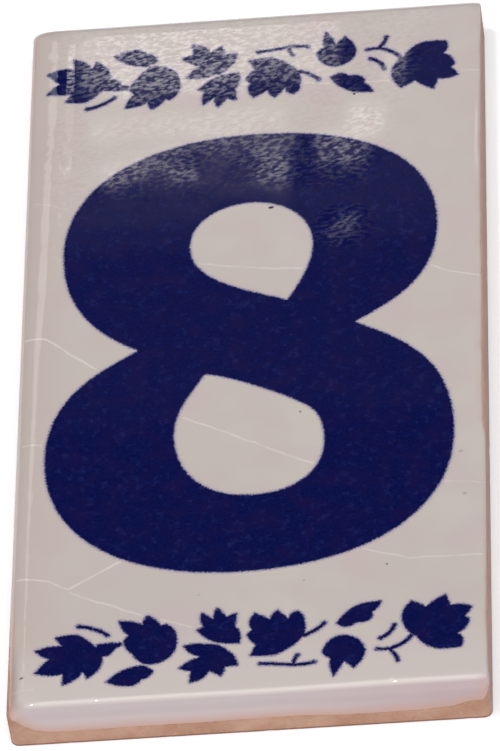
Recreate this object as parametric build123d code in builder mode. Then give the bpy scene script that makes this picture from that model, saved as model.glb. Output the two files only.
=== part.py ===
import os

from build123d import *

# A glazed clay number tile, lying on its back with the face up.
# X runs to the reader's right, Y to the top of the numeral, Z out of the face.
# The origin is the middle of the back. All sizes are in millimetres.

# The tile
tile_width = 55.0
tile_length = 110.0
tile_thickness = 6.0
corner_radius = 1.5
edge_radius = 1.8
back_chamfer = 0.4

# The glaze over the face and the upper walls. The right wall is bare clay.
glaze_thickness = 0.25
glaze_right_radius = 0.6
clay_right_radius = 1.2

# The print, fired into the glaze and level with it. It sits a little turned and low.
ink_depth = 0.12
print_turn = 0.7
print_drop = 1.1
side_margin = 2.5
end_margin = 9.0
garland_height = 11.8
numeral_gap = 5.0
stem_width = 0.55
twig_width = 0.45

# Where the glaze stops on each wall: how far along the wall from its middle, as a share
# of half its length, and the height above the back.
front_line = [
    (-1.0, 4.6), (-0.975, 4.3), (-0.93, 3.1), (-0.87, 2.5), (-0.75, 2.4), (-0.5, 2.7),
    (-0.2, 2.75), (0.15, 2.95), (0.45, 2.6), (0.7, 2.75), (0.87, 3.3), (0.95, 3.0),
    (1.0, 2.9),
]
back_line = [(-1.0, 4.2), (-0.5, 3.3), (0.0, 3.0), (0.5, 3.4), (0.9, 3.7), (1.0, 4.6)]
left_line = [(-1.0, 4.5), (-0.8, 4.3), (-0.4, 4.0), (0.0, 4.3), (0.5, 4.0), (1.0, 4.3)]
right_line = [
    (-1.0, 3.2), (-0.985, 4.6), (-0.95, 5.1), (-0.6, 5.2), (-0.2, 5.1), (0.2, 5.2),
    (0.6, 5.15), (0.95, 5.2), (1.0, 5.0),
]

# The numeral as drawn, half its height being 35.1 and its field 50 wide
drawn_field = 50.0
drawn_rise = 35.1
numeral_outline = [
    ((12.4, 3.0), (16.1, 5.6), (22.3, 8.6), (22.3, 18.7)),
    ((22.3, 18.7), (22.3, 28.9), (14.5, 35.1), (0.1, 35.1)),
    ((0.1, 35.1), (-13.2, 35.1), (-22.4, 28.5), (-22.4, 17.0)),
    ((-22.4, 17.0), (-22.4, 7.5), (-17.4, 3.4), (-13.4, 0.9)),
    ((-13.4, 0.9), (-17.3, -1.7), (-24.2, -5.2), (-24.2, -15.7)),
    ((-24.2, -15.7), (-24.2, -26.9), (-15.8, -34.9), (-0.8, -34.9)),
    ((-0.8, -34.9), (15.2, -34.9), (23.7, -26.5), (23.7, -14.8)),
    ((23.7, -14.8), (23.7, -2.8), (16.9, 0.1), (12.4, 3.0)),
]
upper_counter = [
    ((-7.2, 17.1), (-7.2, 21.2), (-3.7, 23.7), (0.1, 23.7)),
    ((0.1, 23.7), (3.8, 23.7), (7.4, 21.0), (7.4, 16.1)),
    ((7.4, 16.1), (7.4, 13.0), (5.3, 9.1), (4.3, 7.4)),
    ((4.3, 7.4), (-0.4, 9.5), (-7.2, 11.3), (-7.2, 17.1)),
]
lower_counter = [
    ((-5.4, -3.7), (-2.8, -4.1), (4.3, -7.8), (6.7, -9.9)),
    ((6.7, -9.9), (7.7, -10.7), (8.5, -12.4), (8.5, -15.2)),
    ((8.5, -15.2), (8.5, -20.1), (5.2, -23.1), (0.2, -23.1)),
    ((0.2, -23.1), (-5.2, -23.1), (-9.0, -19.2), (-9.0, -12.8)),
    ((-9.0, -12.8), (-9.0, -9.2), (-6.7, -6.0), (-5.4, -3.7)),
]

# The garland as drawn: each leaf clockwise from one of its tips or sides, as across,
# up from the garland's middle, and how far the side that follows swells, as a share
# of its own length.
leaves = [
    # the broad leaf at the left end and the wedge of its stalk
    [(-24.8, 2.1, 0.1), (-21.6, 2.5, 0.02), (-21.6, 4.1, 0.13), (-19.3, 2.4, 0.02),
     (-18.8, 3.4, 0.15), (-17.0, 0.6, 0.1), (-20.0, -3.4, 0.05), (-22.5, -3.1, 0.08),
     (-21.7, -1.8, 0.08), (-24.8, -1.3, 0.1), (-23.3, 0.1, 0.04)],
    [(-17.5, 0.4, 0.02), (-16.3, 0.2, 0.02), (-15.5, -0.8, 0.02), (-14.8, -1.2, 0.2),
     (-15.0, -1.7, 0.02), (-16.5, -1.8, 0.02), (-17.8, -1.6, 0.02)],
    # the small bud above and the round leaf below it
    [(-16.6, 4.1, 0.08), (-14.0, 5.0, 0.15), (-12.6, 4.2, 0.15), (-11.2, 3.0, 0.2),
     (-13.6, 2.1, 0.1)],
    [(-12.2, 1.9, 0.25), (-8.5, -1.2, 0.15), (-9.7, -4.0, 0.1), (-10.3, -3.8, 0.1),
     (-11.9, -5.4, 0.15), (-12.5, -4.2, 0.08), (-15.2, -4.9, 0.1), (-14.2, -2.7, 0.02),
     (-14.7, -1.8, 0.1), (-13.7, 0.2, 0.08)],
    # the pair of five pointed leaves
    [(-7.1, 5.1, 0.15), (-4.8, 3.6, 0.03), (-3.5, 4.4, 0.1), (-3.0, 3.1, 0.02),
     (-1.6, 3.0, 0.12), (-2.7, 0.6, 0.12), (-5.2, -0.6, 0.08), (-7.8, -0.5, 0.12),
     (-6.0, 1.3, 0.08), (-8.3, 2.8, 0.1), (-7.0, 3.4, 0.02)],
    [(-3.2, -0.4, 0.05), (-1.4, -0.3, 0.15), (-1.8, -2.9, 0.05), (-1.7, -4.8, 0.12),
     (-2.8, -4.5, 0.03), (-3.9, -5.9, 0.12), (-4.4, -4.3, 0.02), (-5.7, -5.3, 0.12),
     (-5.6, -3.2, 0.02), (-6.3, -2.7, 0.12)],
    # the broad leaf in the middle
    [(-0.2, 1.7, 0.03), (2.6, 1.9, 0.06), (5.5, -0.1, 0.12), (6.1, -3.0, 0.15),
     (5.3, -4.6, 0.2), (4.2, -3.5, 0.04), (3.0, -4.9, 0.15), (2.1, -3.6, 0.04),
     (0.4, -4.7, 0.2), (0.0, -2.2, 0.03), (-0.6, -1.5, 0.06), (0.4, 0.1, 0.02)],
    # the horned leaf above and the long leaf below it
    [(9.3, 5.6, 0.05), (10.5, 3.5, 0.02), (11.6, 4.6, 0.1), (13.0, 2.0, 0.18),
     (10.4, -0.5, 0.18), (8.0, 1.9, 0.15), (8.9, 2.9, 0.08)],
    [(9.7, -2.3, 0.28), (11.9, -2.1, 0.05), (13.1, -2.2, 0.2), (13.9, -3.6, 0.1),
     (14.9, -5.2, 0.04), (12.5, -5.0, 0.1)],
    # the broad leaf at the right end
    [(17.1, -2.2, 0.12), (18.7, 0.5, 0.1), (21.0, 2.6, 0.04), (23.8, 2.6, 0.2),
     (23.6, 0.5, 0.12), (24.9, -1.4, 0.1), (24.4, -2.0, 0.06), (25.2, -3.4, 0.1),
     (22.8, -3.9, 0.03), (22.2, -5.5, 0.06), (20.0, -3.9, 0.04), (18.3, -4.9, 0.12)],
]
# Stems are thicker than twigs. Each is one arc: start, a point on the way, end.
stems = [
    ((-19.8, -4.5), (-18.1, -4.0), (-16.5, -2.9)),
    ((6.0, -0.8), (7.3, -1.5), (8.3, -2.4)),
    ((14.7, 0.4), (15.8, -0.4), (16.3, -1.4)),
    ((16.0, 2.0), (17.2, 1.4), (18.2, 0.4)),
]
twigs = [
    ((1.0, 3.0), (2.9, 3.2), (4.7, 3.5)),
    ((4.7, 3.5), (6.0, 3.5), (7.1, 3.3)),
    ((4.8, 3.4), (4.9, 2.7), (5.2, 2.1)),
    ((14.3, 2.0), (15.3, 2.1), (16.1, 2.0)),
    ((15.7, 2.2), (16.3, 3.0), (16.6, 3.9)),
]

# Places worked out from the sizes above
half_width = tile_width / 2
half_length = tile_length / 2
clay_left = glaze_thickness - half_width
clay_end = half_length - glaze_thickness
clay_top = tile_thickness - glaze_thickness
garland_middle = half_length - end_margin
numeral_rise = garland_middle - garland_height / 2 - numeral_gap
across_scale = (tile_width - 2 * side_margin) / drawn_field
numeral_scale = numeral_rise / drawn_rise
print_plane = Plane.XY.offset(tile_thickness).rotated((0, 0, print_turn)).move(
    Location((0, -print_drop, 0))
)


def cushion(left, end, top, right_radius):
    """A block with rounded corners and rounded edges round its top face."""
    with BuildPart() as block:
        with BuildSketch(Plane.XY):
            with Locations(((left + half_width) / 2, 0)):
                RectangleRounded(half_width - left, 2 * end, corner_radius)
        extrude(amount=top)
        with BuildSketch(Plane.XZ):
            with Locations((left, 0)):
                Rectangle(half_width - left, top, align=(Align.MIN, Align.MIN))
            upper = vertices().group_by(Axis.Y)[-1].sort_by(Axis.X)
            fillet(upper[0], edge_radius)
            upper = vertices().group_by(Axis.Y)[-1].sort_by(Axis.X)
            fillet(upper[-1], right_radius)
        extrude(amount=tile_length, both=True, mode=Mode.INTERSECT)
        with BuildSketch(Plane.YZ):
            Rectangle(2 * end, top, align=(Align.CENTER, Align.MIN))
            fillet(vertices().group_by(Axis.Y)[-1], edge_radius)
        extrude(amount=tile_width, both=True, mode=Mode.INTERSECT)
    return block.part


def bare_walls():
    """The lower part of each wall, below the glaze's edge, as four slabs."""
    side_run = half_length - corner_radius / 2
    depth = corner_radius / 2
    walls = [
        (Plane.XZ.offset(half_length), half_width, front_line, -depth),
        (Plane.XZ.offset(-half_length), half_width, back_line, depth),
        (Plane.YZ.offset(-half_width), side_run, left_line, corner_radius),
        (Plane.YZ.offset(half_width), side_run, right_line, -corner_radius),
    ]
    with BuildPart() as strips:
        for plane, half_run, line, inward in walls:
            points = [(share * half_run, height) for share, height in line]
            with BuildSketch(plane):
                with BuildLine():
                    Spline(*points)
                    Polyline(points[-1], (half_run, 0), (-half_run, 0), points[0])
                make_face()
            extrude(amount=inward)
    return strips.part


def curved_field(curves):
    """One closed field of the numeral, from curves with two handles each."""
    with BuildSketch() as field:
        with BuildLine():
            for curve in curves:
                Bezier(*[(x * across_scale, y * numeral_scale) for x, y in curve])
        make_face()
    return field.sketch


def leaf_field(outline):
    """One leaf, with sides that swell between its points and notches."""
    corners = [Vector(x * across_scale, garland_middle + y) for x, y, _ in outline]
    with BuildSketch() as field:
        with BuildLine():
            for index, (_, _, swell) in enumerate(outline):
                start = corners[index]
                end = corners[(index + 1) % len(corners)]
                SagittaArc(start, end, swell * (end - start).length)
        make_face()
    return field.sketch


def stem_field(points, width):
    """One stem of even width with round ends."""
    placed = [(x * across_scale, garland_middle + y) for x, y in points]
    with BuildSketch() as field:
        SlotArc(ThreePointArc(*placed, mode=Mode.PRIVATE), width)
    return field.sketch


# Numeral
with BuildPart() as numeral:
    with BuildSketch(print_plane):
        add(curved_field(numeral_outline))
        add(curved_field(upper_counter), mode=Mode.SUBTRACT)
        add(curved_field(lower_counter), mode=Mode.SUBTRACT)
    extrude(amount=-ink_depth)

# Garland above the numeral, and the same one upside down below it
with BuildPart() as garland_top:
    with BuildSketch(print_plane):
        for leaf in leaves:
            add(leaf_field(leaf))
        for stem in stems:
            add(stem_field(stem, stem_width))
        for twig in twigs:
            add(stem_field(twig, twig_width))
    extrude(amount=-ink_depth)

print_row = Plane(
    origin=print_plane.origin, x_dir=print_plane.x_dir, z_dir=print_plane.y_dir
)
with BuildPart() as garland_bottom:
    mirror(garland_top.part, about=print_row)

# Clay body, with a small bevel round its flat back
clay_block = cushion(clay_left, clay_end, clay_top, clay_right_radius)
with BuildPart() as tile_body:
    add(clay_block)
    chamfer(tile_body.faces().sort_by(Axis.Z)[0].edges(), back_chamfer)

# Glaze coat, open where the walls are bare and where the ink is fired in
with BuildPart() as glaze:
    add(cushion(-half_width, half_length, tile_thickness, glaze_right_radius))
    add(clay_block, mode=Mode.SUBTRACT)
    add(bare_walls(), mode=Mode.SUBTRACT)
    add(numeral.part, mode=Mode.SUBTRACT)
    add(garland_top.part, mode=Mode.SUBTRACT)
    add(garland_bottom.part, mode=Mode.SUBTRACT)

os.makedirs("parts", exist_ok=True)
for name, piece in (
    ("tile_body", tile_body),
    ("glaze", glaze),
    ("numeral", numeral),
    ("garland_top", garland_top),
    ("garland_bottom", garland_bottom),
):
    piece.part.label = name
    export_step(piece.part, f"parts/{name}.step")
    print(name, len(piece.part.solids()), round(piece.part.volume, 1))
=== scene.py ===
import math

import bmesh
import bpy
from mathutils import Matrix, Vector, noise
from mathutils.kdtree import KDTree


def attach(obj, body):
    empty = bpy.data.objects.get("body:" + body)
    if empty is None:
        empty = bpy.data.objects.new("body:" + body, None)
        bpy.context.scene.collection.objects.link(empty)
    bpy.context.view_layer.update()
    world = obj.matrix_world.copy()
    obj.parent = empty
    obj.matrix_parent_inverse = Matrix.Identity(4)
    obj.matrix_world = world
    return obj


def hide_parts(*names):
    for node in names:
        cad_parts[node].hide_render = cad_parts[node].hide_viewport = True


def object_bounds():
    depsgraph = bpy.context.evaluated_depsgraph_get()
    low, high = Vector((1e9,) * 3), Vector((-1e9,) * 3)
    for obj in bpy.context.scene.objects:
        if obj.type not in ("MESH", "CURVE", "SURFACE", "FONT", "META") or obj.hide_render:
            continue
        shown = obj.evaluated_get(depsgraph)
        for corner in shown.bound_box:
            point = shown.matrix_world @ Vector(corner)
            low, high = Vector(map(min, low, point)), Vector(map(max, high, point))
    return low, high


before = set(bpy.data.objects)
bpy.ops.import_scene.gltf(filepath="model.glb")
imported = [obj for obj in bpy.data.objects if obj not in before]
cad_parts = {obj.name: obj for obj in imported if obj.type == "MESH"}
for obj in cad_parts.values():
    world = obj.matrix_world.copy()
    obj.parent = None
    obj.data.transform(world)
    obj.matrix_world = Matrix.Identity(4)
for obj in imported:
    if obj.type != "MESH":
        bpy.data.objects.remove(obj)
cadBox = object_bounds()
mm = 0.001
faceLevel = cadBox[1].z
print("frame loaded:", ", ".join(sorted(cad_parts)))


def fromPicture(red, green, blue):
    # a colour as a picture editor writes it, 0 to 255, as the shader wants it
    shares = [value / 255 for value in (red, green, blue)]
    return tuple(s / 12.92 if s <= 0.04045 else ((s + 0.055) / 1.055) ** 2.4 for s in shares) + (1.0,)


def wavy(place, size, seed):
    # smooth noise from -1 to 1 whose bumps are about size across
    return noise.noise(Vector(place) / size + Vector((seed, 3.7 * seed, 0.0)))


# Camera: where the photograph was taken from
photoCamera = {
    "azimuth": 7.157, "elevation": 46.82, "roll": 8.948,
    "distance": 965.5 * mm, "across": -0.725 * mm, "upward": 0.138 * mm,
    "focalPixels": 8188.0, "longSidePixels": 751, "sensor": 36.0,
}


def makeCamera(values):
    azimuth, elevation, roll = (math.radians(values[k]) for k in ("azimuth", "elevation", "roll"))
    back = Vector((math.sin(azimuth) * math.cos(elevation),
                   -math.cos(azimuth) * math.cos(elevation), math.sin(elevation)))
    right = Vector((math.cos(azimuth), math.sin(azimuth), 0))
    up = back.cross(right)
    axes = (right * math.cos(roll) - up * math.sin(roll),
            right * math.sin(roll) + up * math.cos(roll), back)
    camera = bpy.data.objects.new("camera", bpy.data.cameras.new("camera"))
    camera.data.sensor_width = values["sensor"]
    camera.data.lens = values["focalPixels"] * values["sensor"] / values["longSidePixels"]
    place = back * values["distance"] + right * values["across"] + up * values["upward"]
    camera.matrix_world = Matrix.Translation(place) @ Matrix(axes).transposed().to_4x4()
    camera.data.clip_start, camera.data.clip_end = 0.05, 50
    bpy.context.scene.collection.objects.link(camera)
    bpy.context.scene.camera = camera
    return place


cameraPlace = makeCamera(photoCamera)
bpy.context.scene.view_settings.view_transform = "Standard"
print("camera set")


# Material nodes
class Sheet:
    # a node tree with short calls for the nodes that the finishes need
    def __init__(self, name):
        self.material = bpy.data.materials.new(name)
        self.material.use_nodes = True
        self.tree = self.material.node_tree
        self.shader = self.tree.nodes["Principled BSDF"]
        self.place = self.add("ShaderNodeTexCoord").outputs["Object"]
        self.parts = self.add("ShaderNodeSeparateXYZ", {0: self.place}).outputs

    def add(self, kind, values=(), **settings):
        made = self.tree.nodes.new(kind)
        for name, value in settings.items():
            setattr(made, name, value)
        for name, value in dict(values).items():
            self.give(made.inputs[name], value)
        return made

    def give(self, socket, value):
        if isinstance(value, bpy.types.NodeSocket):
            self.tree.links.new(value, socket)
        else:
            socket.default_value = value

    def math(self, operation, first, second=0.0):
        return self.add("ShaderNodeMath", {0: first, 1: second}, operation=operation).outputs[0]

    def mapped(self, place, spot=(0, 0, 0), turn=0.0, size=(1, 1, 1)):
        # coordinates that start at a spot, turned, with size as their unit
        return self.add("ShaderNodeMapping", {
            "Vector": place, "Location": spot, "Rotation": (0, 0, math.radians(turn)),
            "Scale": size}, vector_type="TEXTURE").outputs[0]

    def awayFrom(self, spot, turn, size):
        # how far off a spot, in units of size
        return self.add("ShaderNodeVectorMath", {0: self.mapped(self.place, spot, turn, size)},
                        operation="LENGTH").outputs["Value"]

    def cloud(self, size, detail=2.0, roughness=0.5, stretch=(1, 1, 1), turn=0.0):
        # noise whose features are about size across, longer along an axis with a stretch over 1
        return self.add("ShaderNodeTexNoise", {
            "Vector": self.mapped(self.place, turn=turn, size=tuple(size * s for s in stretch)),
            "Scale": 1.0, "Detail": detail, "Roughness": roughness}).outputs["Fac"]

    def ramp(self, value, low, high, atLow=0.0, atHigh=1.0):
        return self.add("ShaderNodeMapRange", {
            "Value": value, "From Min": low, "From Max": high,
            "To Min": atLow, "To Max": atHigh}).outputs[0]

    def mix(self, share, first, second):
        made = self.add("ShaderNodeMix", data_type="RGBA")
        for index, value in ((0, share), (6, first), (7, second)):
            self.give(made.inputs[index], value)
        return made.outputs[2]

    def attribute(self, name):
        return self.add("ShaderNodeAttribute", attribute_name=name).outputs["Fac"]

    def bump(self, height, depth, under=None):
        values = {"Height": height, "Distance": depth, "Strength": 1.0}
        if under:
            values["Normal"] = under
        return self.add("ShaderNodeBump", values).outputs[0]


glazeFinish = {
    "white": fromPicture(197, 188, 183), "cream": fromPicture(200, 192, 186),
    "pink": fromPicture(198, 184, 184), "left": fromPicture(194, 179, 173),
    # near, edge and wall are painted light and shade along the near edge: the face painted paler, the
    # rounding greyer and the wall darker
    "near": fromPicture(205, 195, 192), "edge": fromPicture(177, 165, 167),
    "wall": fromPicture(191, 179, 178), "nearRight": fromPicture(175, 153, 157),
    "overClay": fromPicture(190, 152, 138), "craze": fromPicture(219, 210, 203),
    "speckBlack": fromPicture(26, 20, 30), "speckBlue": fromPicture(40, 36, 78),
    "speckBrown": fromPicture(92, 60, 48), "speckGrey": fromPicture(150, 140, 136),
    "mottleSize": 22 * mm, "blotchSize": 5 * mm, "speckTurn": 12, "speckEdge": (1.2, 0.6),
    # each tint: where it starts and where it is full, and how strong it is there if not 0 and 1
    "leftTint": (-20 * mm, -25 * mm, 0.0, 0.6), "paintedLightNear": (-44 * mm, -51 * mm, 0.0, 0.95),
    "paintedEdgeShade": (faceLevel - 0.1 * mm, faceLevel - 0.4 * mm),
    "paintedWallShade": (faceLevel - 0.9 * mm, faceLevel - 2.0 * mm),
    "rightTint": (3 * mm, 22 * mm, 0.0, 0.7),
    "roughness": 0.026, "shine": 0.55, "waveSize": 14 * mm, "waveDepth": 0.005 * mm,
    "edgeWaveSize": 2.5 * mm, "edgeWaveDepth": 0.06 * mm, "edgeWavePlace": (-22 * mm, -24.5 * mm),
    "crazeWidth": 0.2 * mm, "crazeWander": 0.5 * mm, "crazeWanderSize": 2.5 * mm,
    "crazeFaintSize": 1.6 * mm, "crazeFaint": (0.3, 0.55, 0.35, 1.0),
}
# Wrinkles in the glaze, which break up its gloss
wrinkleFinish = {
    "size": 0.42 * mm, "detail": 2.3, "roughness": 0.55, "stretch": (1.8, 1, 1), "turn": 13,
    "contrast": (0.43, 0.66), "dull": 0.15, "bright": 2.0,
    # on the level face, over its far part and left of a slanted line
    "heights": (faceLevel - 0.15 * mm, faceLevel - 0.03 * mm), "far": (23 * mm, 26 * mm),
    "slant": 0.3, "leftOf": (8 * mm, 5.5 * mm),
    # and round one spot, with its radii in mm
    "spot": (10.8 * mm, 17.8 * mm, faceLevel), "spotRadii": (4.5, 3.5),
    # they don't show at a glancing angle
    "facing": (0.4, 0.6, 1.0, 0.0),
}
# Hairlines in the glaze: how clear they are, and their corners in mm on the face
crazeLines = [
    (0.8, [(5.8, 42.1), (11.8, 41.7), (16.9, 41.5)]),
    (0.6, [(24.8, 42.5), (27.3, 42.4)]),
    (0.3, [(-26.6, 25.3), (-22.2, 23.3)]),
    (0.9, [(-6.3, 13.1), (-0.2, 11.9), (6.2, 11.3)]),
    (0.8, [(21.0, 10.6), (23.4, 9.3), (27.2, 8.2)]),
    (1.0, [(-26.9, 2.9), (-24.3, 2.5), (-21.8, 0.2), (-18.3, -2.9)]),
    (0.9, [(-7.8, -11.5), (0.1, -15.9), (7.6, -20.1)]),
    (0.7, [(-26.6, -14.1), (-23.8, -14.5)]),
    (0.6, [(22.0, -23.8), (26.9, -24.6)]),
    (1.0, [(-26.8, -34.8), (-23.0, -35.7), (-20.6, -37.1), (-14.6, -33.2)]),
    (0.8, [(-20.5, -37.6), (-12.7, -41.4), (-6.3, -43.9)]),
    (0.7, [(12.8, -33.5), (18.7, -35.5), (26.9, -35.6)]),
    (0.6, [(-27.1, -52.0), (-24.3, -51.8)]),
]
# Specks under the glaze: place, width and length in mm, colour and how dark they are
specks = [
    (12.1, 39.7, 0.34, 0.34, "speckBlack", 1.0), (2.2, 21.6, 0.75, 0.42, "speckBlue", 1.0),
    (5.9, -11.7, 0.3, 0.25, "speckBlack", 0.8), (16.0, -36.2, 0.3, 0.25, "speckBlack", 0.8),
    (6.5, -37.9, 0.3, 0.2, "speckGrey", 0.8), (-25.7, -50.0, 0.55, 0.35, "speckBrown", 0.75),
    (24.6, -19.5, 0.6, 0.4, "speckGrey", 0.5), (25.0, -26.1, 0.55, 0.45, "speckGrey", 0.6),
    (-5.6, -39.1, 0.4, 0.3, "speckGrey", 0.5),
]
# Dimples in the near rounding, which catch the lamp: place along the edge and width in mm, and slope
dimples = [(-17.3, 1.2, 0.066), (6.2, 0.6, 0.092), (12.0, 0.5, 0.1), (16.6, 1.2, 0.112)]
# The edge's line that the dimples lie on
dimpleLine = (-53.83 * mm, faceLevel - 0.1 * mm)


def glazeColour(sheet, values):
    mottled = sheet.ramp(sheet.cloud(values["mottleSize"]), 0.35, 0.65)
    blotches = sheet.ramp(sheet.cloud(values["blotchSize"], 1.0), 0.4, 0.7, 0.0, 0.8)
    colour = sheet.mix(mottled, values["white"], values["cream"])
    colour = sheet.mix(blotches, colour, values["pink"])
    across, along, height = sheet.parts
    colour = sheet.mix(sheet.ramp(across, *values["leftTint"]), colour, values["left"])
    # painted light and shade by the near edge: the face painted paler towards it, the rounding painted
    # greyer and the wall darker as shade, and the rounding pinker at its right end
    edge = sheet.ramp(height, *values["paintedEdgeShade"])
    wall = sheet.ramp(height, *values["paintedWallShade"])
    paintedTone = sheet.mix(wall, sheet.mix(edge, values["near"], values["edge"]), values["wall"])
    pinker = sheet.math("MULTIPLY", edge, sheet.ramp(across, *values["rightTint"]))
    paintedTone = sheet.mix(pinker, paintedTone, values["nearRight"])
    return sheet.mix(sheet.ramp(along, *values["paintedLightNear"]), colour, paintedTone)


def drawSpecks(sheet, colour, values):
    for x, y, width, length, name, dark in specks:
        radii = (width / 2 * mm, length / 2 * mm, mm)
        away = sheet.awayFrom((x * mm, y * mm, faceLevel), values["speckTurn"], radii)
        shown = sheet.ramp(away, *values["speckEdge"], 0.0, dark)
        colour = sheet.mix(shown, colour, values[name])
    return colour


def glazeRelief(sheet, values):
    # broad waves, and small ones over the left rounding
    broad = sheet.bump(sheet.cloud(values["waveSize"], 3.0), values["waveDepth"])
    left = sheet.ramp(sheet.parts[0], *values["edgeWavePlace"])
    small = sheet.math("MULTIPLY", sheet.cloud(values["edgeWaveSize"], 2.0), left)
    return sheet.bump(small, values["edgeWaveDepth"], broad)


def glazeShine(sheet, values, level):
    # how well the glaze mirrors
    across, along, height = sheet.parts
    where = sheet.ramp(height, *values["heights"])
    where = sheet.math("MULTIPLY", where, sheet.ramp(along, *values["far"]))
    slanted = sheet.math("SUBTRACT", across, sheet.math("MULTIPLY", along, values["slant"]))
    where = sheet.math("MULTIPLY", where, sheet.ramp(slanted, *values["leftOf"]))
    away = sheet.awayFrom(values["spot"], 0, (mm, mm, mm))
    where = sheet.math("MAXIMUM", where, sheet.ramp(away, *values["spotRadii"]))
    facing = sheet.add("ShaderNodeLayerWeight", {"Blend": 0.5}).outputs["Facing"]
    where = sheet.math("MULTIPLY", where, sheet.ramp(facing, *values["facing"]))
    cloud = sheet.cloud(*(values[k] for k in ("size", "detail", "roughness", "stretch", "turn")))
    wrinkles = sheet.ramp(cloud, *values["contrast"], values["dull"] - 1, values["bright"] - 1)
    change = sheet.math("MULTIPLY", wrinkles, where)
    return sheet.math("MULTIPLY", sheet.math("ADD", change, 1.0), level)


def giveGloss(sheet, values):
    # the sockets' own values are the plain gloss, without the wrinkles
    sheet.shader.inputs["Roughness"].default_value = values["roughness"]
    shine = sheet.shader.inputs["Specular IOR Level"]
    shine.default_value = values["shine"]
    sheet.give(shine, glazeShine(sheet, wrinkleFinish, values["shine"]))


def hairlines(sheet, values):
    # how much of the hairline colour shows, from 0 to 1
    wander = sheet.add("ShaderNodeTexNoise", {
        "Vector": sheet.mapped(sheet.place, size=(values["crazeWanderSize"],) * 3),
        "Scale": 1.0, "Detail": 2.0}).outputs["Color"]
    shift = sheet.add("ShaderNodeVectorMath", {0: wander, 1: (-0.5, -0.5, -0.5)}).outputs[0]
    shift = sheet.add("ShaderNodeVectorMath", {0: shift, 1: (values["crazeWander"],) * 3},
                      operation="MULTIPLY").outputs[0]
    place = sheet.add("ShaderNodeVectorMath", {0: sheet.place, 1: shift}).outputs[0]
    shown = 0.0
    for clear, corners in crazeLines:
        for start, end in zip(corners, corners[1:]):
            middle = [(a + b) / 2 * mm for a, b in zip(start, end)]
            run = [b - a for a, b in zip(start, end)]
            half = math.hypot(*run) / 2 * mm
            parts = sheet.add("ShaderNodeSeparateXYZ", {0: sheet.mapped(
                place, (*middle, 0), math.degrees(math.atan2(run[1], run[0])), (half, half, 1))}).outputs
            past = sheet.math("MAXIMUM", sheet.math("SUBTRACT", sheet.math("ABSOLUTE", parts[0]), 1.0), 0.0)
            away = sheet.math("ADD", sheet.math("ABSOLUTE", parts[1]), past)
            width = values["crazeWidth"] / half
            line = sheet.ramp(away, width, 0.15 * width, 0.0, clear)
            shown = sheet.math("MAXIMUM", shown, line)
    faint = sheet.ramp(sheet.cloud(values["crazeFaintSize"]), *values["crazeFaint"])
    return sheet.math("MULTIPLY", shown, faint)


def makeGlaze(values):
    sheet = Sheet("whiteGlaze")
    colour = sheet.mix(hairlines(sheet, values), glazeColour(sheet, values), values["craze"])
    colour = drawSpecks(sheet, colour, values)
    colour = sheet.mix(sheet.attribute("thin"), colour, values["overClay"])
    sheet.give(sheet.shader.inputs["Base Color"], colour)
    giveGloss(sheet, values)
    relief = glazeRelief(sheet, values)
    hollows = 0.0
    for x, width, slope in dimples:
        half = width / 2 * mm
        away = sheet.awayFrom((x * mm, *dimpleLine), 0, (half, half, half))
        hollow = sheet.add("ShaderNodeMapRange", {
            "Value": away, "From Min": 1.0, "From Max": 0.0, "To Max": -slope * width / 3},
            interpolation_type="SMOOTHSTEP").outputs[0]
        hollows = sheet.math("MINIMUM", hollows, hollow)
    sheet.give(sheet.shader.inputs["Normal"], sheet.bump(hollows, mm, relief))
    return sheet.material


inkFinish = {
    "deep": fromPicture(4, 8, 60), "bright": fromPicture(10, 18, 82),
    "violet": fromPicture(24, 16, 70), "halo": fromPicture(150, 144, 172),
    "pale": fromPicture(40, 50, 112), "paintedHaze": fromPicture(62, 58, 90),
    "roughness": 0.026, "shine": 0.65,
    "grainSize": 0.35 * mm, "patchSize": 3 * mm, "fleckSize": 0.8 * mm, "paintedHazeSize": 7 * mm,
    "fringeSize": 0.25 * mm,
    # how far out the halo begins, and between which depths in from the drawn line the blue grows
    "haloReach": 0.42 * mm, "rim": -0.07 * mm, "core": 0.15 * mm, "fringe": 0.1 * mm,
    # where the painted reflection haze grows: from near, from far, from the right and by its own cloud
    "paintedHazeNear": (19 * mm, 28 * mm), "paintedHazeFar": (37 * mm, 35 * mm),
    "paintedHazeRight": (5.5 * mm, 3.5 * mm, 0.1, 0.9), "paintedHazeCloud": (0.4, 0.6, 0.15, 0.65),
}


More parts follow.
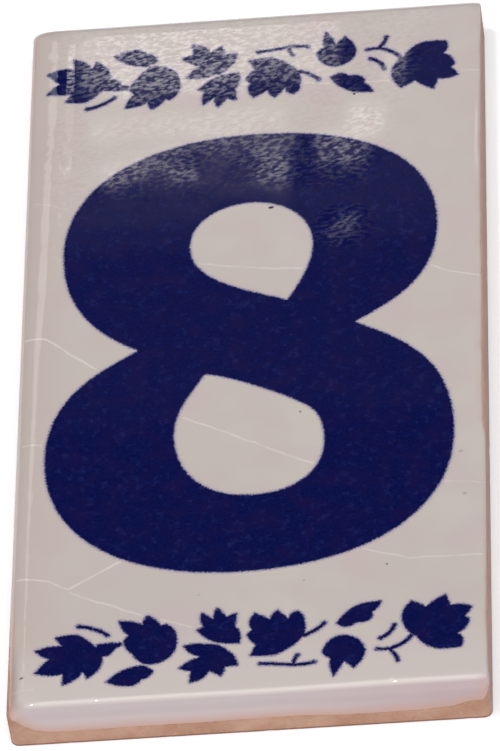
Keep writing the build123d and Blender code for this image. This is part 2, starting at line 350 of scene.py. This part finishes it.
def makeInk(values):
    sheet = Sheet("blueInk")
    grain = sheet.ramp(sheet.cloud(values["grainSize"], 3.0, 0.6), 0.3, 0.7)
    patches = sheet.ramp(sheet.cloud(values["patchSize"], 3.0), 0.45, 0.65)
    blue = sheet.mix(grain, values["deep"], values["bright"])
    blue = sheet.mix(sheet.math("MULTIPLY", patches, 0.6), blue, values["violet"])
    flecks = sheet.ramp(sheet.cloud(values["fleckSize"], 3.0, 0.6), 0.55, 0.75, 0.0, 0.4)
    blue = sheet.mix(flecks, blue, values["pale"])
    # a pale painted reflection haze over the far left part of the numeral
    across, along = sheet.parts[0], sheet.parts[1]
    paintedHaze = sheet.ramp(along, *values["paintedHazeNear"])
    paintedHaze = sheet.math("MULTIPLY", paintedHaze, sheet.ramp(along, *values["paintedHazeFar"]))
    paintedHaze = sheet.math("MULTIPLY", paintedHaze, sheet.ramp(across, *values["paintedHazeRight"]))
    cloud = sheet.cloud(values["paintedHazeSize"], 2.0)
    paintedHaze = sheet.math("MULTIPLY", paintedHaze, sheet.ramp(cloud, *values["paintedHazeCloud"]))
    blue = sheet.mix(paintedHaze, blue, values["paintedHaze"])
    # the attribute is the distance in from the drawn line
    cloud = sheet.cloud(values["fringeSize"], 2.0)
    fringe = sheet.ramp(cloud, 0.3, 0.7, -values["fringe"], values["fringe"])
    depth = sheet.math("ADD", sheet.attribute("ink"), fringe)
    tint = sheet.ramp(depth, -values["haloReach"], 0.0)
    outer = sheet.mix(sheet.math("MULTIPLY", tint, tint), glazeColour(sheet, glazeFinish), values["halo"])
    colour = sheet.mix(sheet.ramp(depth, values["rim"], values["core"]), outer, blue)
    sheet.give(sheet.shader.inputs["Base Color"], drawSpecks(sheet, colour, glazeFinish))
    giveGloss(sheet, values)
    sheet.give(sheet.shader.inputs["Normal"], glazeRelief(sheet, glazeFinish))
    return sheet.material


clayFinish = {
    "light": fromPicture(189, 154, 133), "dark": fromPicture(171, 131, 109),
    "grit": fromPicture(202, 172, 150), "paintedFootShadow": fromPicture(124, 84, 72),
    "rightWallShade": fromPicture(174, 152, 150),
    # heights over which the foot darkens with painted contact shadow, and where the right wall takes its
    # painted grey-pink shade
    "paintedFootShadowTint": (0.32 * mm, 0.08 * mm),
    "rightWallShadeTint": (cadBox[1].x - 0.35 * mm, cadBox[1].x - 0.1 * mm, 0.0, 0.55),
    "roughness": 0.85, "shine": 0.25, "mottleSize": 3.5 * mm, "gritSize": 0.3 * mm,
    "grainSize": 0.25 * mm, "grainDepth": 0.03 * mm,
}


def makeClay(values):
    sheet = Sheet("firedClay")
    mottled = sheet.ramp(sheet.cloud(values["mottleSize"], 4.0, 0.6), 0.35, 0.65)
    colour = sheet.mix(mottled, values["dark"], values["light"])
    grit = sheet.ramp(sheet.cloud(values["gritSize"], 2.0, 0.7), 0.6, 0.75, 0.0, 0.6)
    colour = sheet.mix(grit, colour, values["grit"])
    # painted contact shadow: the clay darkens towards the floor
    colour = sheet.mix(sheet.ramp(sheet.parts[2], *values["paintedFootShadowTint"]), colour, values["paintedFootShadow"])
    # painted shade: the right wall turns greyer and pinker
    rightWallShade = sheet.ramp(sheet.parts[0], *values["rightWallShadeTint"])
    sheet.give(sheet.shader.inputs["Base Color"], sheet.mix(rightWallShade, colour, values["rightWallShade"]))
    sheet.shader.inputs["Roughness"].default_value = values["roughness"]
    sheet.shader.inputs["Specular IOR Level"].default_value = values["shine"]
    grain = sheet.bump(sheet.cloud(values["grainSize"], 4.0, 0.7), values["grainDepth"])
    sheet.give(sheet.shader.inputs["Normal"], grain)
    return sheet.material


glazeMaterial = makeGlaze(glazeFinish)
inkMaterial = makeInk(inkFinish)
clayMaterial = makeClay(clayFinish)
print("finishes made")


# The tile is built from one outline, a rounded rectangle, drawn up its walls and over its edges ring by ring
tileShape = {
    "halfWidth": cadBox[1].x, "halfLength": cadBox[1].y, "top": faceLevel,
    # the corners, how fast they widen inwards, and the outline's spacing
    "cornerRadius": 1.0 * mm, "softening": 0.5, "cornerSteps": 10, "spacing": 0.3 * mm,
    # how far the rounding reaches over the face, and how far down the wall
    "reach": {"right": 0.6 * mm, "back": 1.8 * mm},
    "drop": {"left": 1.7 * mm, "right": 0.6 * mm, "front": 1.8 * mm, "back": 1.8 * mm},
    # how far the glaze line wanders up and down, and over what width it thins
    "lineWave": {"left": 0.1 * mm, "right": 0.05 * mm, "front": 0.08 * mm, "back": 0.1 * mm},
    "lineWaveSizes": (4 * mm, 1.6 * mm), "lineBelowTop": 0.04 * mm,
    "fade": {"left": 1.3 * mm, "right": 0.4 * mm, "front": 1.8 * mm, "back": 0.8 * mm},
    # how much the roundings swell and narrow along their length
    "edgeWave": 0.05, "edgeWaveSize": 13 * mm,
}
# How far the left and front roundings reach over the face: how far along the wall, -1 to 1, and the
# reach in mm
leftReaches = [(-1.0, 2.6), (-0.45, 2.45), (-0.12, 2.7), (0.04, 2.9), (0.22, 3.55), (0.55, 3.95),
               (0.68, 4.55), (1.0, 4.7)]
frontReaches = [(-1.0, 1.5), (0.25, 1.5), (0.7, 1.75), (1.0, 1.75)]
# Where the glaze stops: how far along each wall, -1 to 1, and the height above the back in mm
glazeLines = {
    "front": [(-1.0, 4.2), (-0.96, 3.1), (-0.92, 2.45), (-0.85, 2.1), (-0.75, 2.0), (-0.5, 2.15),
              (-0.2, 2.15), (0.15, 2.35), (0.45, 2.0), (0.7, 2.0), (0.86, 2.35), (0.96, 3.1), (1.0, 3.1)],
    "back": [(-1.0, 4.2), (-0.5, 3.3), (0.0, 3.0), (0.5, 3.4), (0.9, 3.7), (1.0, 4.6)],
    "left": [(-1.0, 5.2), (-0.95, 5.2), (-0.85, 4.95), (-0.8, 4.8), (-0.65, 4.5), (-0.4, 4.0),
             (0.0, 4.3), (0.5, 4.0), (1.0, 4.3)],
    "right": [(-1.0, 4.8), (-0.97, 5.7), (-0.85, 5.8), (-0.55, 5.66), (-0.33, 5.6), (-0.28, 5.93),
              (-0.1, 5.93), (0.08, 5.88), (0.35, 5.9), (0.6, 5.86), (0.83, 5.7), (1.0, 5.5)],
}


def between(line, share):
    # the value of such a list at one place, smoothly from point to point
    for (low, lowValue), (high, highValue) in zip(line, line[1:]):
        if share <= high:
            part = max(0.0, (share - low) / (high - low))
            return lowValue + (highValue - lowValue) * part * part * (3 - 2 * part)
    return line[-1][1]


def drawOutline(mesh, shape):
    # a flat rounded rectangle as one loop of short edges, with each point's number kept in a layer
    bmesh.ops.create_grid(mesh, x_segments=1, y_segments=1, size=0.5)
    bmesh.ops.scale(mesh, verts=mesh.verts[:], vec=(2 * shape["halfWidth"], 2 * shape["halfLength"], 1))
    bmesh.ops.bevel(mesh, geom=mesh.verts[:], offset=shape["cornerRadius"], offset_type="OFFSET",
                    affect="VERTICES", segments=shape["cornerSteps"], profile=0.5, material=-1)
    for edge in [e for e in mesh.edges if e.calc_length() > 5 * mm]:
        cuts = round(edge.calc_length() / shape["spacing"]) - 1
        bmesh.ops.subdivide_edges(mesh, edges=[edge], cuts=cuts)
    bmesh.ops.delete(mesh, geom=mesh.faces[:], context="FACES_ONLY")
    spot = mesh.verts.layers.int.new("spot")
    spots = []
    for vert in mesh.verts:
        vert[spot] = len(spots)
        spots.append(outlineSpot(vert.co.copy(), shape))
    return mesh.edges[:], spots


def outlineSpot(place, shape):
    # what the rings need to know of one point of the outline
    limitX = shape["halfWidth"] - shape["cornerRadius"]
    limitY = shape["halfLength"] - shape["cornerRadius"]
    middle = Vector((max(-limitX, min(limitX, place.x)), max(-limitY, min(limitY, place.y)), 0))
    outward = (place - middle).normalized()
    sideX = "right" if place.x > 0 else "left"
    sideY = "back" if place.y > 0 else "front"
    shareX = outward.x ** 2
    spot = {"place": place, "middle": middle, "outward": outward,
            "sideX": sideX, "sideY": sideY, "shareX": shareX}
    line = (between(glazeLines[sideX], place.y / limitY) * shareX
            + between(glazeLines[sideY], place.x / limitX) * (1 - shareX)) * mm
    broad, small = shape["lineWaveSizes"]
    wave = wavy(place, broad, 5.1) + 0.6 * wavy(place, small, 8.2)
    highest = shape["top"] - shape["lineBelowTop"]
    spot["line"] = min(line + shared(spot, shape["lineWave"]) * wave, highest)
    spot["reachX"] = leftReach(place.y, shape) if sideX == "left" else (
        swell(place, shape) * shape["reach"]["right"])
    spot["reachY"] = swell(place, shape) * (
        between(frontReaches, place.x / shape["halfWidth"]) * mm if sideY == "front"
        else shape["reach"]["back"])
    return spot


def swell(place, shape):
    # how wide the rounding is there, where 1 is its usual width
    return 1 + shape["edgeWave"] * wavy(place, shape["edgeWaveSize"], 1.3)


def leftReach(along, shape):
    wall = Vector((-shape["halfWidth"], along, 0))
    return swell(wall, shape) * between(leftReaches, along / shape["halfLength"]) * mm


def faceHeight(place, shape):
    # the height of the face, which falls away over the left rounding
    over = max(0, 1 - (place.x + shape["halfWidth"]) / leftReach(place.y, shape))
    return shape["top"] - shape["drop"]["left"] * (1 - math.sqrt(1 - over * over))


def shared(spot, values):
    # a value that differs from side to side, blended round the corners
    return values[spot["sideX"]] * spot["shareX"] + values[spot["sideY"]] * (1 - spot["shareX"])


def addRing(mesh, edges, spots, move):
    # draws the loop on by one ring, and puts each new point where move says
    made = bmesh.ops.extrude_edge_only(mesh, edges=edges)["geom"]
    fresh = {item for item in made if isinstance(item, bmesh.types.BMVert)}
    spot = mesh.verts.layers.int["spot"]
    for vert in fresh:
        vert.co = move(spots[vert[spot]])
    return [item for item in made if isinstance(item, bmesh.types.BMEdge)
            and item.verts[0] in fresh and item.verts[1] in fresh]


def inset(spot, shape, insetX, insetY, height):
    # the outline's point moved in from its sides, with its corners kept round
    where = []
    for axis, half, move in ((0, shape["halfWidth"], insetX), (1, shape["halfLength"], insetY)):
        radius = shape["cornerRadius"] + shape["softening"] * move
        share = (half - move - radius) / (half - shape["cornerRadius"])
        where.append(spot["middle"][axis] * share + spot["outward"][axis] * radius)
    return Vector((*where, height))


def overEdge(spot, shape, angle, depth):
    # a point on the rounding at that angle from the wall, depth under the surface
    ease = 1 - math.cos(angle)
    insetX, insetY = (depth + max(0, spot[axis] - depth) * ease for axis in ("reachX", "reachY"))
    drop = max(0, shared(spot, shape["drop"]) - depth)
    return inset(spot, shape, insetX, insetY, shape["top"] - depth - drop * (1 - math.sin(angle)))


def edgeAngle(spot, shape, height):
    # the angle round the edge at which the surface has that height, 0 or less on the wall
    return math.asin(max(-1, min(1, 1 - (shape["top"] - height) / shared(spot, shape["drop"]))))


def onProfile(spot, shape, height, depth):
    # the tile's surface at a height, on its wall or on its rounding
    angle = edgeAngle(spot, shape, height)
    if angle <= 0:
        return inset(spot, shape, depth, depth, height)
    return overEdge(spot, shape, angle, depth)


def finishPiece(name, mesh, material, slot, smooth, *nodes):
    bmesh.ops.remove_doubles(mesh, verts=mesh.verts[:], dist=0.002 * mm)
    bmesh.ops.dissolve_degenerate(mesh, edges=mesh.edges[:], dist=0.001 * mm)
    bmesh.ops.recalc_face_normals(mesh, faces=mesh.faces[:])
    data = bpy.data.meshes.new(name)
    mesh.to_mesh(data)
    mesh.free()
    # the print's sides stay flat
    for polygon in data.polygons:
        polygon.use_smooth = smooth or polygon.normal.z > 0.5
    piece = bpy.data.objects.new(name, data)
    piece.data.materials.append(material)
    bpy.context.scene.collection.objects.link(piece)
    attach(piece, "root")
    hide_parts(*nodes)
    print(name, len(data.polygons), "faces")


# Glaze coat: a shell with a rolled, wavy lower edge
glazeShape = {
    # how far it lies under the print's top, its thickness, and its lip
    "under": 0.015 * mm, "hidden": 0.3 * mm, "hiddenRise": 0.3,
    "lip": 0.07 * mm, "lipHeight": 0.4 * mm, "lipShare": 0.6,
    # rings round the lip: shares of how far in and how high it reaches
    "lipRings": ((1.0, -0.04), (0.8, -0.08), (0.5, 0.0), (0.25, 0.25), (0.08, 0.6), (0.0, 1.0)),
    "wallRings": 6, "edgeRings": 12, "innerRing": 0.8 * mm,
    # angles round the edge of the hidden side's rings
    "hiddenRings": (0.5, 1.0, math.pi / 2), "thinning": 1.3,
}


def makeGlazeCoat(shape, values):
    mesh = bmesh.new()
    edges, spots = drawOutline(mesh, shape)
    thin = mesh.verts.layers.float.new("thin")
    spotLayer = mesh.verts.layers.int["spot"]

    def onLip(spot, rise, out):
        # the lip keeps below the face where the line is near the top
        space = values["lipShare"] * (shape["top"] - spot["line"])
        return onProfile(spot, shape, spot["line"] + min(values["lipHeight"], space) * rise, out)

    def onWall(spot, part):
        # from the lip, at part 0, to where the rounding starts, at part 1
        low, high = onLip(spot, 1, 0).z, shape["top"] - shared(spot, shape["drop"])
        return onProfile(spot, shape, low + max(0, high - low) * part, 0)

    def onEdge(spot, part):
        # from the wall, or from the lip where that is higher, to the face
        start = max(0, edgeAngle(spot, shape, onLip(spot, 1, 0).z))
        return overEdge(spot, shape, start + (math.pi / 2 - start) * part, 0) - Vector(
            (0, 0, values["under"] * part))

    for vert in mesh.verts:
        vert.co = onLip(spots[vert[spotLayer]], values["hiddenRise"], values["hidden"])
    first = list(edges)
    for out, rise in values["lipRings"]:
        edges = addRing(mesh, edges, spots, lambda s: onLip(s, rise, values["lip"] * out))
    for step in range(1, values["wallRings"] + 1):
        edges = addRing(mesh, edges, spots, lambda s: onWall(s, step / values["wallRings"]))
    for step in range(1, values["edgeRings"] + 1):
        edges = addRing(mesh, edges, spots, lambda s: onEdge(s, step / values["edgeRings"]))
    edges = addRing(mesh, edges, spots, lambda s: inset(
        s, shape, s["reachX"] + values["innerRing"], s["reachY"] + values["innerRing"],
        shape["top"] - values["under"]))
    bmesh.ops.contextual_create(mesh, geom=edges)
    # the hidden side, against the clay
    edges = first
    for angle in values["hiddenRings"]:
        edges = addRing(mesh, edges, spots, lambda s: overEdge(
            s, shape, max(angle, edgeAngle(s, shape, s["line"])), values["hidden"]))
    bmesh.ops.contextual_create(mesh, geom=edges)
    # the coat thins towards its edge
    rim = KDTree(len(spots))
    for index, spot in enumerate(spots):
        rim.insert(onProfile(spot, shape, spot["line"], 0), index)
    rim.balance()
    for vert in mesh.verts:
        away = rim.find(vert.co)[2]
        fade = shared(spots[vert[spotLayer]], shape["fade"])
        vert[thin] = max(0.0, 1 - away / fade) ** values["thinning"]
    finishPiece("glazeCoat", mesh, glazeMaterial, "white_glaze", True, "glaze")


makeGlazeCoat(tileShape, glazeShape)


# Clay body: rough walls, a worn foot and a flat back
clayShape = {
    # its depth under the glaze, over what height that grows from the bare clay, and the least depth
    "covered": 0.25 * mm, "step": 0.4 * mm, "least": 0.015 * mm,
    "bevel": 0.02 * mm, "roughness": 0.05 * mm, "roughSizes": (1.3 * mm, 0.45 * mm),
    "chips": 0.14 * mm, "chipHeight": 0.5 * mm, "chipSizes": (1.9 * mm, 5 * mm),
    # the rings' heights in mm
    "heights": (0.07, 0.35, 0.7, 1.1, 1.5, 1.9, 2.3, 2.6, 2.9, 3.2, 3.6, 4.0, 4.4, 4.7, 5.0, 5.25,
                5.5, 5.7, 5.85, 5.94),
}


def makeClayBody(shape, values):
    mesh = bmesh.new()
    edges, spots = drawOutline(mesh, shape)
    small, broad = values["chipSizes"]
    for spot in spots:
        chip = wavy(spot["place"], small, 11.4) + 0.5 * wavy(spot["place"], broad, 2.9)
        spot["chip"] = values["chips"] * max(0.0, chip - 0.3)

    def skinDepth(spot, height):
        # bare clay stands out nearly as far as the glaze, which covers the rest
        part = max(0.0, min(1.0, (height - spot["line"]) / values["step"] + 0.3))
        return values["covered"] * part * part * (3 - 2 * part)

    def onWall(spot, height):
        high = spot["place"] + Vector((0, 0, height))
        coarse, fine = values["roughSizes"]
        rough = values["roughness"] * (wavy(high, coarse, 6.6) + 0.5 * wavy(high, fine, 9.1))
        chip = spot["chip"] * max(0, 1 - height / values["chipHeight"])
        depth = max(skinDepth(spot, height) + rough + chip, values["least"])
        return onProfile(spot, shape, height, depth)

    for vert in mesh.verts:
        spot = spots[vert[mesh.verts.layers.int["spot"]]]
        back = values["bevel"] + spot["chip"]
        vert.co = inset(spot, shape, back, back, 0)
    bmesh.ops.contextual_create(mesh, geom=edges)
    for height in values["heights"]:
        edges = addRing(mesh, edges, spots, lambda s: onWall(s, height * mm))
    edges = addRing(mesh, edges, spots, lambda s: overEdge(s, shape, math.pi / 2, values["covered"]))
    bmesh.ops.contextual_create(mesh, geom=edges)
    finishPiece("clayBody", mesh, clayMaterial, "clay", True, "tile_body")


makeClayBody(tileShape, clayShape)


# The print: thin fields in the glaze, with a soft and slightly ragged rim
inkShape = {
    # the rim's points, and how wide it is on both sides of the drawn line
    "spacing": 0.22 * mm, "outside": 0.4 * mm, "inside": 0.26 * mm,
    # how far it wanders, how far the sides that face far and right do so too, and their wave sizes
    "ragged": 0.04 * mm, "furred": 0.09 * mm, "raggedSize": 0.9 * mm, "furredSize": 0.35 * mm,
    "fuller": 0.14 * mm, "thickness": 0.1 * mm,
    # a rim takes this share of the gap ahead of it, looked for within so many rim widths, and changes
    # along the line by no more than the slope
    "gapShare": 0.42, "lookAhead": 2.4, "rimSlope": 0.5, "sweeps": 6,
    # strips over the left rounding: their width, and how far in they go
    "strip": 0.2 * mm, "stripsEnd": 5.2 * mm,
}


def makeInkFields(name, node, values):
    mesh = bmesh.new()
    mesh.from_mesh(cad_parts[node].data)
    spot, ink = mesh.verts.layers.int.new("spot"), mesh.verts.layers.float.new("ink")
    bmesh.ops.remove_doubles(mesh, verts=mesh.verts[:], dist=0.0001 * mm)
    bmesh.ops.delete(mesh, geom=[f for f in mesh.faces if f.normal.z < 0.9], context="FACES")
    rim = [e for e in mesh.edges if e.is_boundary]
    for edge in rim:
        cuts = round(edge.calc_length() / values["spacing"]) - 1
        if cuts > 0:
            bmesh.ops.subdivide_edges(mesh, edges=[edge], cuts=cuts)
    rim = [e for e in mesh.edges if e.is_boundary]
    outward = {}
    for edge in rim:
        face, (start, end) = edge.link_faces[0], edge.verts
        along = (end.co - start.co).normalized()
        across = along.cross(Vector((0, 0, 1)))
        if across.dot(face.calc_center_median() - start.co) > 0:
            across = -across
        for vert in (start, end):
            outward[vert] = outward.get(vert, Vector()) + across
    spots = []
    for vert, away in outward.items():
        away.normalize()
        vert[spot] = len(spots)
        spots.append({"place": vert.co.copy(), "outward": away})
    links = [[o[spot] for e in v.link_edges if e.is_boundary for o in [e.other_vert(v)]] for v in outward]
    limitRims(spots, links, values)
    bmesh.ops.delete(mesh, geom=mesh.faces[:], context="FACES_ONLY")
    bmesh.ops.delete(mesh, geom=[e for e in mesh.edges if e not in set(rim)], context="EDGES")

    def distance(s, ring):
        # in from the drawn line: the halo's rim, the line itself and the full colour
        return (-s["outside"], 0.0, s["inside"])[ring]

    edges = list(rim)
    for ring in range(3):
        if ring:
            edges = addRing(mesh, edges, spots, lambda s: s["place"])
        for vert in {v for e in edges for v in e.verts}:
            s = spots[vert[spot]]
            vert[ink] = distance(s, ring)
            vert.co = s["place"] + s["outward"] * (s["ragged"] - distance(s, ring))
    bmesh.ops.triangle_fill(mesh, edges=edges, use_beauty=True, use_dissolve=False, normal=(0, 0, 1))
    for face in mesh.faces:
        face.normal_update()
        if face.normal.z < 0:
            face.normal_flip()
    # narrow strips follow the left rounding
    for step in range(1, round(values["stripsEnd"] / values["strip"])):
        cut = Vector((step * values["strip"] - tileShape["halfWidth"], 0, 0))
        bmesh.ops.bisect_plane(mesh, geom=mesh.verts[:] + mesh.edges[:] + mesh.faces[:],
                               plane_co=cut, plane_no=(1, 0, 0))
    sunk = bmesh.ops.extrude_face_region(mesh, geom=mesh.faces[:], use_keep_orig=True)["geom"]
    lower = [item for item in sunk if isinstance(item, bmesh.types.BMVert)]
    bmesh.ops.translate(mesh, verts=lower, vec=(0, 0, -values["thickness"]))
    for vert in mesh.verts:
        vert.co.z += faceHeight(vert.co, tileShape) - tileShape["top"]
    finishPiece(name, mesh, inkMaterial, "blue_ink", False, node)


def limitRims(spots, links, values):
    # each rim narrows where a tip, a stem or a notch leaves less than its width
    tree = KDTree(len(spots))
    for index, spot in enumerate(spots):
        tree.insert(spot["place"], index)
    tree.balance()
    for spot in spots:
        for side, sign in (("outside", 1), ("inside", -1)):
            spot[side] = values[side]
            for place, _, away in tree.find_range(spot["place"], values["lookAhead"] * values[side]):
                # within 60 degrees of straight ahead
                if away > 0 and (place - spot["place"]).dot(sign * spot["outward"]) > 0.5 * away:
                    spot[side] = min(spot[side], values["gapShare"] * away)
        fur = max(0.0, spot["outward"].dot(Vector((0.7, 0.7, 0))))
        spot["ragged"] = (values["ragged"] * wavy(spot["place"], values["raggedSize"], 4.4)
                          + values["furred"] * fur * wavy(spot["place"], values["furredSize"], 7.7))
    for sweep in range(values["sweeps"]):
        for index, spot in enumerate(spots):
            for other in links[index]:
                apart = (spots[other]["place"] - spot["place"]).length
                for side in ("outside", "inside"):
                    spot[side] = min(spot[side], spots[other][side] + values["rimSlope"] * apart)
    for spot in spots:
        # thin strokes are drawn a little fuller
        more = values["fuller"] * (1 - spot["inside"] / values["inside"])
        spot["ragged"] += min(more, 0.5 * spot["outside"])


makeInkFields("numeralInk", "numeral", inkShape)
makeInkFields("upperLeavesInk", "garland_top", inkShape)
makeInkFields("lowerLeavesInk", "garland_bottom", inkShape)


# Floor and light
floorFinish = {
    "size": 20, "under": 0.02 * mm,
    "colour": (0.84, 0.8, 0.86, 1), "glow": (0.9, 1, 0.93, 1), "brightness": 0.33,
}


def makeFloor(values):
    # matt, with a glow that only the camera and mirrors see, so that it lights nothing
    mesh = bmesh.new()
    bmesh.ops.create_grid(mesh, x_segments=1, y_segments=1, size=values["size"])
    bmesh.ops.translate(mesh, verts=mesh.verts[:], vec=(0, 0, -values["under"]))
    data = bpy.data.meshes.new("floor")
    mesh.to_mesh(data)
    mesh.free()
    floor = bpy.data.objects.new("floor", data)
    bpy.context.scene.collection.objects.link(floor)
    sheet = Sheet("paleFloor")
    sheet.tree.nodes.remove(sheet.shader)
    path = sheet.add("ShaderNodeLightPath").outputs
    seen = sheet.math("MAXIMUM", path["Is Camera Ray"], path["Is Glossy Ray"])
    seen = sheet.math("MAXIMUM", seen, path["Is Transmission Ray"])
    matt = sheet.add("ShaderNodeBsdfDiffuse", {"Color": values["colour"]}).outputs[0]
    strength = sheet.math("MULTIPLY", seen, values["brightness"])
    glow = sheet.add("ShaderNodeEmission", {"Color": values["glow"], "Strength": strength}).outputs[0]
    both = sheet.add("ShaderNodeAddShader", {0: matt, 1: glow}).outputs[0]
    sheet.give(sheet.tree.nodes["Material Output"].inputs["Surface"], both)
    floor.data.materials.append(sheet.material)


makeFloor(floorFinish)

room = {
    "dim": 0.035, "front": 1.45, "frontHigh": 1.2, "horizon": 0.95, "ceiling": 1.2,
    "left": 0.4, "right": 0.7, "colour": (1, 0.985, 0.97, 1),
    # directions, -1 to 1, between which each part begins and ends
    "frontAlong": (-0.15, 0.3), "frontUp": (0.15, 0.55), "horizonUp": (0.08, 0.3),
    "horizonAlong": (-0.2, 0.5), "behind": 0.2, "sides": (0.4, 0.95), "ceilingUp": (0.88, 0.97),
}


def makeRoom(values):
    # bright in front, at the horizon and overhead, and dim behind, so that the face keeps its deep blue
    world = bpy.data.worlds.new("room")
    bpy.context.scene.world = world
    world.use_nodes = True
    tree = world.node_tree
    nodes, links = tree.nodes, tree.links
    parts = nodes.new("ShaderNodeSeparateXYZ")
    links.new(nodes.new("ShaderNodeTexCoord").outputs["Generated"], parts.inputs[0])

    def ranged(socket, low, high, atLow, atHigh):
        made = nodes.new("ShaderNodeMapRange")
        made.interpolation_type = "SMOOTHSTEP"
        links.new(socket, made.inputs["Value"])
        for name, value in (("From Min", low), ("From Max", high), ("To Min", atLow), ("To Max", atHigh)):
            made.inputs[name].default_value = value
        return made.outputs[0]

    def combined(operation, first, second):
        made = nodes.new("ShaderNodeMath")
        made.operation = operation
        links.new(first, made.inputs[0])
        links.new(second, made.inputs[1])
        return made.outputs[0]

    across, along, up = parts.outputs
    front = combined("MULTIPLY", ranged(along, *values["frontAlong"], 1.0, 0.0),
                     ranged(up, *values["frontUp"], values["front"], values["frontHigh"]))
    horizon = combined("MULTIPLY", ranged(up, *values["horizonUp"], values["horizon"], 0.0),
                       ranged(along, *values["horizonAlong"], 1.0, values["behind"]))
    inner, outer = values["sides"]
    sides = combined("MULTIPLY", ranged(across, inner, outer, 1.0, values["right"]),
                     ranged(across, -inner, -outer, 1.0, values["left"]))
    low = combined("MULTIPLY", combined("MAXIMUM", front, horizon), sides)
    ceiling = ranged(up, *values["ceilingUp"], values["dim"], values["ceiling"])
    links.new(combined("MAXIMUM", low, ceiling), nodes["Background"].inputs["Strength"])
    nodes["Background"].inputs["Color"].default_value = values["colour"]


makeRoom(room)

# Panes of light whose mirror image falls on the face: left, right, near and far side in mm on it, turn in
# degrees, and brightness
panes = [
    (-21.2, -17.0, 43.2, 57.5, 0, 2.4),
    (-17.0, -1.0, 41.8, 57.5, 0, 2.75),
    (-1.0, 10.0, 42.5, 57.5, 0, 2.1),
    (15.6, 18.4, 41.5, 46.5, -10, 2.2),
    (-20.0, 4.0, 34.5, 38.5, 0, 1.7),
    (-18.4, -12.5, 27.5, 30.6, 24, 2.4),
    (-13.0, -7.6, 29.6, 32.4, 28, 1.5),
    (-10.3, -7.0, 27.6, 29.2, 0, 2.6),
    (-7.0, -1.6, 31.4, 34.5, 0, 1.3),
    (-1.6, 4.8, 29.6, 34.0, -12, 1.4),
    (0.6, 4.0, 25.8, 29.6, -12, 2.1),
    (7.4, 13.2, 28.2, 33.6, 0, 2.1),
    (11.2, 15.5, 33.0, 38.0, -12, 2.9),
    (10.2, 11.6, 15.4, 19.8, -45, 1.5),
    (-200.0, 26.0, 16.0, 60.0, 0, 0.1),
    (-26.0, 25.0, -12.0, 40.0, 0, 0.03),
]
paneHeight = 1.5
paneColour = (1, 0.94, 0.92)


def makeLamp(name, place, turned, width, length, brightness, colour=(1, 1, 1)):
    # brightness is the lamp's own, where 1 is white
    data = bpy.data.lights.new(name, "AREA")
    data.shape = "RECTANGLE"
    data.size, data.size_y = width, length
    data.energy = brightness * math.pi * width * length
    data.color = colour
    lamp = bpy.data.objects.new(name, data)
    lamp.matrix_world = Matrix.Translation(place) @ turned
    bpy.context.scene.collection.objects.link(lamp)


def makePanes(rows, height):
    # a level pane mirrors in the face as a smaller copy of itself
    mirrored = Vector((cameraPlace.x, cameraPlace.y, 2 * faceLevel - cameraPlace.z))
    grow = 1 + height / (cameraPlace.z - faceLevel)
    for index, (left, right, near, far, turn, brightness) in enumerate(rows):
        spot = Vector(((left + right) / 2 * mm, (near + far) / 2 * mm, faceLevel))
        place = mirrored + (spot - mirrored) * grow
        turned = Matrix.Rotation(math.radians(turn), 4, "Z")
        makeLamp(f"pane{index}", place, turned, (right - left) * mm * grow,
                 (far - near) * mm * grow, brightness, paneColour)


makePanes(panes, paneHeight)
# Lamps above and behind: place, width and brightness
lamps = {
    "overhead": ((0.02, -0.02, 0.9), 0.55, 1.25),
    "bulb": ((-0.2, -0.02, 0.88), 0.05, 195.0),
    "behindLeft": ((-0.264, 0.544, 0.525), 0.14, 1.4),
}
for name, (place, width, brightness) in lamps.items():
    turned = Vector(place).to_track_quat("Z", "Y").to_matrix().to_4x4()
    makeLamp(name, Vector(place), turned, width, width, brightness)
print("light set")
